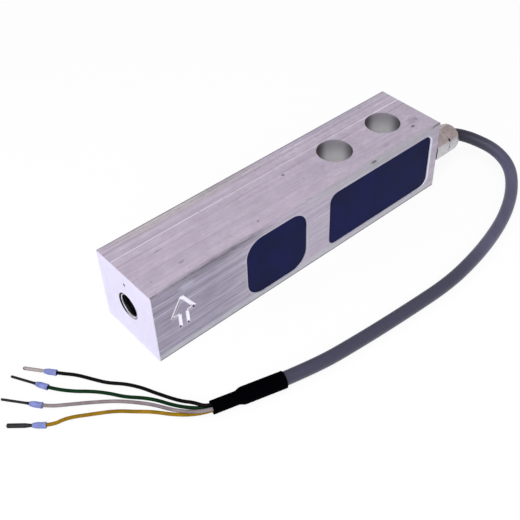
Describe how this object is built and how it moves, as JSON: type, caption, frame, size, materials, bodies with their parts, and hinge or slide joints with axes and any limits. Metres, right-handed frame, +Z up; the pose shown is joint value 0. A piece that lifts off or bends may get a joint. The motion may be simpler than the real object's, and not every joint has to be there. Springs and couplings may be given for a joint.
{
  "type": "bending beam force sensor",
  "caption": "Square aluminium bending beam force sensor with potted pockets, clearance holes, a tapped load hole, a side cable gland and a short lead whose wires end in ferrules.",
  "frame": {"origin": "centre of the lower face of the beam", "axes": "+X along the beam towards the cable, -X towards the tapped load end, -Y towards the pocket of the electronics, +Z up through the mounting holes"},
  "size_m": [0.2123, 0.0737, 0.03],
  "materials": {
    "beam_aluminium": "drawn bar, milled ends and pockets",
    "insert_steel": "plain steel thread insert",
    "potting": "navy blue casting resin, satin",
    "gauge_foil": "amber film with metal grid",
    "solder_tab": "tinned copper tabs",
    "lead_enamel": "enamelled lead",
    "insulator": "thin insulating sheet",
    "board": "solder mask",
    "chip": "moulded black",
    "resistor": "small surface parts",
    "capacitor": "ceramic",
    "terminal": "moulded block",
    "gasket_rubber": "flat gasket",
    "gland_nickel": "nickel plated brass, satin",
    "seal_rubber": "seal",
    "jacket": "slate grey jacket",
    "shrink": "heat-shrink tube",
    "wire_black": "insulation",
    "wire_green": "insulation",
    "wire_white": "insulation",
    "wire_yellow": "insulation",
    "collar": "moulded collar",
    "pin": "tinned copper, crimped",
    "strands": "tinned strands"
  },
  "bodies": {
    "root": {"amplifier_board": "board", "amplifier_chip": "chip", "beam_body": "beam_aluminium", "cable": "jacket", "cable_end": "jacket", "capacitors": "capacitor", "electronics_potting": "potting", "ferrule_collar_black": "collar", "ferrule_collar_green": "collar", "ferrule_collar_white": "collar", "ferrule_collar_yellow": "collar", "ferrule_pin_black": "pin", "ferrule_pin_green": "pin", "ferrule_pin_white": "pin", "ferrule_pin_yellow": "pin", "gauge_leads": "lead_enamel", "gauge_potting_front": "potting", "gauge_potting_rear": "potting", "gland_body": "gland_nickel", "gland_cap": "gland_nickel", "gland_gasket": "gasket_rubber", "gland_seal": "seal_rubber", "inner_cores": "wire_black", "insulating_sheet": "insulator", "rear_gauge_leads": "lead_enamel", "resistors": "resistor", "shrink_sleeve": "shrink", "solder_tabs": "solder_tab", "strain_gauges": "gauge_foil", "strands_black": "strands", "strands_green": "strands", "strands_white": "strands", "strands_yellow": "strands", "terminal_block": "terminal", "thread_insert": "insert_steel", "wire_black": "wire_black", "wire_green": "wire_green", "wire_white": "wire_white", "wire_yellow": "wire_yellow"}
  },
  "joints": []
}
